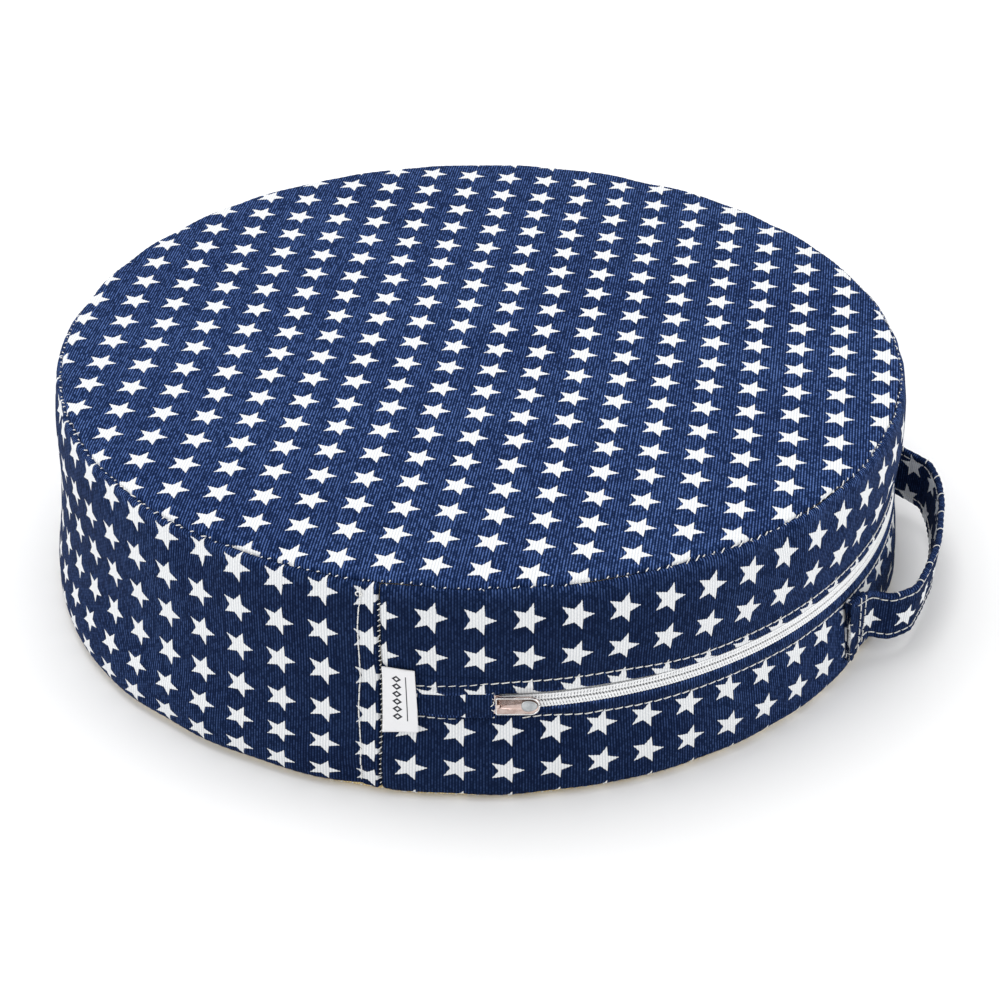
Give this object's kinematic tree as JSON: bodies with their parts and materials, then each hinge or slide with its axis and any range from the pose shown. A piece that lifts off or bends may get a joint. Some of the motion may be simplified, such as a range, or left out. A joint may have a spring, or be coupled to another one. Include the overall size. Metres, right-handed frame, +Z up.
{
  "type": "floor cushion",
  "caption": "Round box cushion with a foam core, star-print cloth cover, zip in the side band with a covered slider, sewn label and carrying strap.",
  "frame": {"origin": "middle of the underside, where the cushion meets the floor", "axes": "+Z up through the cushion's axis; the zip's parked slider faces -Y, and the carrying strap stands out on the +X side, 12 degrees towards -Y"},
  "size_m": [0.414, 0.3952, 0.1035],
  "materials": {
    "star_cloth": "matte",
    "foam": "matte",
    "zip_tape": "matte",
    "zip_coil": "satin",
    "slider_metal": "satin",
    "label_cloth": "matte",
    "white_thread": "matte"
  },
  "bodies": {
    "cushion": {"foam_core": "foam", "top_panel": "star_cloth", "bottom_panel": "star_cloth", "side_band": "star_cloth", "zip_band_upper": "star_cloth", "zip_band_lower": "star_cloth", "zipper_tape_upper": "zip_tape", "zipper_tape_lower": "zip_tape", "zipper_coil_upper": "zip_coil", "zipper_coil_lower": "zip_coil", "zipper_cover": "star_cloth", "label": "label_cloth", "handle_end_near": "star_cloth", "handle_end_far": "star_cloth", "handle_end_threads": "white_thread", "top_seam_thread": "white_thread", "bottom_seam_thread": "white_thread", "band_join_threads": "white_thread", "band_topstitches": "white_thread", "zip_topstitch_upper": "white_thread", "zip_topstitch_lower": "white_thread"},
    "slider": {"zipper_slider": "slider_metal"},
    "pull": {"zipper_pull": "slider_metal"},
    "handle": {"handle_strap": "star_cloth", "handle_edge_threads": "white_thread"}
  },
  "joints": [
    {"name": "zip_travel", "type": "hinge", "parent": "cushion", "child": "slider", "pos_m": [0, 0, 0.04715], "axis": [0, 0, 1], "range_deg": [0, 160]},
    {"name": "pull_fold", "type": "hinge", "parent": "slider", "child": "pull", "pos_m": [0.0066, -0.19574, 0.04729], "axis": [0, -0.0646, -0.9979], "range_deg": [0, 105]},
    {"name": "handle_lift", "type": "hinge", "parent": "cushion", "child": "handle", "pos_m": [0.18829, -0.04002, 0.0355], "axis": [-0.2079, -0.9781, 0], "range_deg": [0, 75]}
  ]
}
